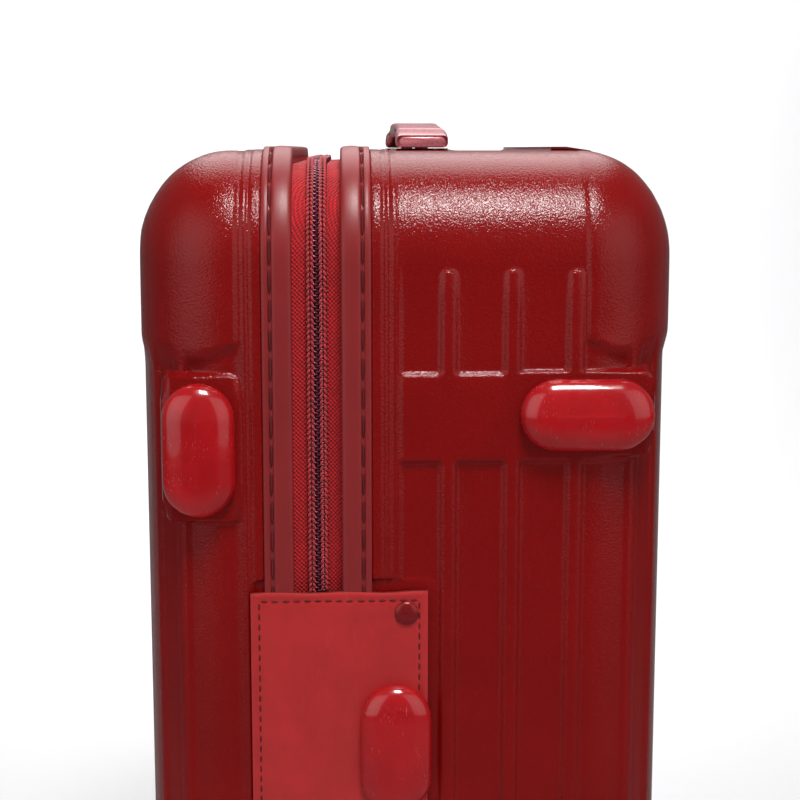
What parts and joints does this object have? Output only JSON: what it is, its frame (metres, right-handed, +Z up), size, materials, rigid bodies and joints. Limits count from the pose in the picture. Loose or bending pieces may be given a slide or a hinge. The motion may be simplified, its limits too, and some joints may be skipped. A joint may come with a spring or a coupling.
{
  "type": "hard shell suitcase on wheels",
  "caption": "Upright ribbed hard shell cabin suitcase that opens on a leather side hinge, with sprung carry handles, telescopic handle, dial lock and twin-wheel casters.",
  "frame": {"origin": "on the floor under the middle of the case's box, carry handle included", "axes": "+Z up; the shallow front half faces -Y and the deep rear half +Y; the hinge side is +X and the lock side -X"},
  "size_m": [0.4124, 0.23, 0.563],
  "materials": {
    "shell": "deep red polycarbonate with a fine moulded grain and a satin gloss",
    "welt": "soft rose-red welt with a sewn edge",
    "zip_tape": "tightly woven red tape",
    "zip_coil": "dark red nylon coil",
    "lining": "dark grey woven lining",
    "pocket": "black mesh and webbing pocket",
    "webbing": "black ribbed webbing",
    "buckle": "black moulded buckle",
    "leather": "smooth red leather with a stitched hem",
    "rivet": "red lacquered rivet heads",
    "foot": "glossy bright red plastic, lightly scratched",
    "screw": "plated steel screws",
    "handle_mount": "dark red-black moulded plastic",
    "grip": "dark red glossy grip",
    "housing": "dark red moulded housings",
    "lock_body": "dark red satin lock plate",
    "dial": "nickel number dials",
    "lock_metal": "nickel button and key core",
    "zip_metal": "dark red lacquered zinc",
    "bezel": "black moulded plastic",
    "tube": "clear anodised aluminium tube",
    "tele_grip": "black soft-touch grip",
    "tele_button": "grey push button",
    "fork": "black nylon caster fork",
    "axle": "steel axle",
    "wheel": "dark polyurethane tread on a grey core"
  },
  "bodies": {
    "case": {"rear_shell": "shell", "rear_welt": "welt", "rear_zip_tape": "zip_tape", "rear_zip_coil": "zip_coil", "rear_lining": "lining", "packing_straps": "webbing", "strap_buckles": "buckle", "hinge_flap_rear": "leather", "hinge_rivets": "rivet", "hinge_foot": "foot", "rear_side_feet": "foot", "rear_screws": "screw", "top_handle_mounts": "handle_mount", "side_handle_mounts": "handle_mount", "rear_wheel_housings": "housing", "lock_housing": "lock_body", "telescope_bezel": "bezel", "telescope_outer_tubes": "tube", "telescope_brackets": "bezel"},
    "lid": {"front_shell": "shell", "front_welt": "welt", "front_zip_tape": "zip_tape", "front_zip_coil": "zip_coil", "front_lining": "lining", "front_pocket": "pocket", "hinge_flap_front": "leather", "front_side_feet": "foot", "front_screws": "screw", "front_wheel_housings": "housing"},
    "top_grip": {"top_handle": "grip"},
    "side_grip": {"side_handle": "grip"},
    "dial_upper": {"lock_dial_upper": "dial"},
    "dial_middle": {"lock_dial_middle": "dial"},
    "dial_lower": {"lock_dial_lower": "dial"},
    "button": {"lock_button": "lock_metal"},
    "key_core": {"lock_key_core": "lock_metal"},
    "slider_upper": {"zip_slider_upper": "zip_metal"},
    "pull_upper": {"zip_pull_upper": "zip_metal"},
    "slider_lower": {"zip_slider_lower": "zip_metal"},
    "pull_lower": {"zip_pull_lower": "zip_metal"},
    "telescope_middle": {"telescope_middle_tubes": "tube"},
    "telescope_top": {"telescope_inner_tubes": "tube", "telescope_grip": "tele_grip"},
    "telescope_release": {"telescope_button": "tele_button"},
    "caster_front_left": {"fork_front_left": "fork", "axle_front_left": "axle"},
    "roller_near_front_left": {"wheel_near_front_left": "wheel"},
    "roller_far_front_left": {"wheel_far_front_left": "wheel"},
    "caster_front_right": {"fork_front_right": "fork", "axle_front_right": "axle"},
    "roller_near_front_right": {"wheel_near_front_right": "wheel"},
    "roller_far_front_right": {"wheel_far_front_right": "wheel"},
    "caster_rear_left": {"fork_rear_left": "fork", "axle_rear_left": "axle"},
    "roller_near_rear_left": {"wheel_near_rear_left": "wheel"},
    "roller_far_rear_left": {"wheel_far_rear_left": "wheel"},
    "caster_rear_right": {"fork_rear_right": "fork", "axle_rear_right": "axle"},
    "roller_near_rear_right": {"wheel_near_rear_right": "wheel"},
    "roller_far_rear_right": {"wheel_far_rear_right": "wheel"}
  },
  "joints": [
    {"name": "lid_hinge", "type": "hinge", "parent": "case", "child": "lid", "pos_m": [0.20675, -0.038, 0.298], "axis": [0, 0, 1], "range_deg": [0, 180]},
    {"name": "top_handle_lift", "type": "slide", "parent": "case", "child": "top_grip", "axis": [0, 0, 1], "range_m": [0, 0.013], "stiffness_N_per_m": 250},
    {"name": "side_handle_lift", "type": "slide", "parent": "case", "child": "side_grip", "axis": [-1, 0, 0], "range_m": [0, 0.013], "stiffness_N_per_m": 250},
    {"name": "dial_upper_turn", "type": "hinge", "parent": "case", "child": "dial_upper", "pos_m": [-0.19205, 0.0045, 0.306], "axis": [0, 0, 1], "continuous": true},
    {"name": "dial_middle_turn", "type": "hinge", "parent": "case", "child": "dial_middle", "pos_m": [-0.19205, 0.0045, 0.298], "axis": [0, 0, 1], "continuous": true},
    {"name": "dial_lower_turn", "type": "hinge", "parent": "case", "child": "dial_lower", "pos_m": [-0.19205, 0.0045, 0.29], "axis": [0, 0, 1], "continuous": true},
    {"name": "lock_button_press", "type": "slide", "parent": "case", "child": "button", "axis": [1, 0, 0], "range_m": [0, 0.0015], "stiffness_N_per_m": 400},
    {"name": "key_turn", "type": "hinge", "parent": "case", "child": "key_core", "pos_m": [-0.19525, 0.0045, 0.272], "axis": [1, 0, 0], "range_deg": [0, 90]},
    {"name": "slider_upper_slide", "type": "slide", "parent": "case", "child": "slider_upper", "axis": [0, 0, 1], "range_m": [0, 0.18]},
    {"name": "pull_upper_swing", "type": "hinge", "parent": "slider_upper", "child": "pull_upper", "pos_m": [-0.19605, -0.038, 0.31], "axis": [0, 0, 1], "range_deg": [0, 150]},
    {"name": "slider_lower_slide", "type": "slide", "parent": "case", "child": "slider_lower", "axis": [0, 0, -1], "range_m": [0, 0.18]},
    {"name": "pull_lower_swing", "type": "hinge", "parent": "slider_lower", "child": "pull_lower", "pos_m": [-0.19605, -0.038, 0.286], "axis": [0, 0, 1], "range_deg": [0, 150]},
    {"name": "telescope_lower_stage", "type": "slide", "parent": "case", "child": "telescope_middle", "axis": [0, 0, 1], "range_m": [0, 0.22]},
    {"name": "telescope_upper_stage", "type": "slide", "parent": "telescope_middle", "child": "telescope_top", "axis": [0, 0, 1], "range_m": [0, 0.22]},
    {"name": "telescope_button_press", "type": "slide", "parent": "telescope_top", "child": "telescope_release", "axis": [0, 0, -1], "range_m": [0, 0.003], "stiffness_N_per_m": 500},
    {"name": "swivel_front_left", "type": "hinge", "parent": "lid", "child": "caster_front_left", "pos_m": [-0.15825, -0.084, 0.045], "axis": [0, 0, 1], "continuous": true},
    {"name": "spin_near_front_left", "type": "hinge", "parent": "caster_front_left", "child": "roller_near_front_left", "pos_m": [-0.16825, -0.084, 0.019], "axis": [0, 1, 0], "continuous": true},
    {"name": "spin_far_front_left", "type": "hinge", "parent": "caster_front_left", "child": "roller_far_front_left", "pos_m": [-0.16825, -0.084, 0.019], "axis": [0, 1, 0], "continuous": true},
    {"name": "swivel_front_right", "type": "hinge", "parent": "lid", "child": "caster_front_right", "pos_m": [0.16175, -0.084, 0.045], "axis": [0, 0, 1], "continuous": true},
    {"name": "spin_near_front_right", "type": "hinge", "parent": "caster_front_right", "child": "roller_near_front_right", "pos_m": [0.17175, -0.084, 0.019], "axis": [0, 1, 0], "continuous": true},
    {"name": "spin_far_front_right", "type": "hinge", "parent": "caster_front_right", "child": "roller_far_front_right", "pos_m": [0.17175, -0.084, 0.019], "axis": [0, 1, 0], "continuous": true},
    {"name": "swivel_rear_left", "type": "hinge", "parent": "case", "child": "caster_rear_left", "pos_m": [-0.15825, 0.084, 0.045], "axis": [0, 0, 1], "continuous": true},
    {"name": "spin_near_rear_left", "type": "hinge", "parent": "caster_rear_left", "child": "roller_near_rear_left", "pos_m": [-0.16825, 0.084, 0.019], "axis": [0, 1, 0], "continuous": true},
    {"name": "spin_far_rear_left", "type": "hinge", "parent": "caster_rear_left", "child": "roller_far_rear_left", "pos_m": [-0.16825, 0.084, 0.019], "axis": [0, 1, 0], "continuous": true},
    {"name": "swivel_rear_right", "type": "hinge", "parent": "case", "child": "caster_rear_right", "pos_m": [0.16175, 0.084, 0.045], "axis": [0, 0, 1], "continuous": true},
    {"name": "spin_near_rear_right", "type": "hinge", "parent": "caster_rear_right", "child": "roller_near_rear_right", "pos_m": [0.17175, 0.084, 0.019], "axis": [0, 1, 0], "continuous": true},
    {"name": "spin_far_rear_right", "type": "hinge", "parent": "caster_rear_right", "child": "roller_far_rear_right", "pos_m": [0.17175, 0.084, 0.019], "axis": [0, 1, 0], "continuous": true}
  ],
  "couplings": [
    {"joint": "telescope_upper_stage", "follows": "telescope_lower_stage", "ratio": 1}
  ]
}
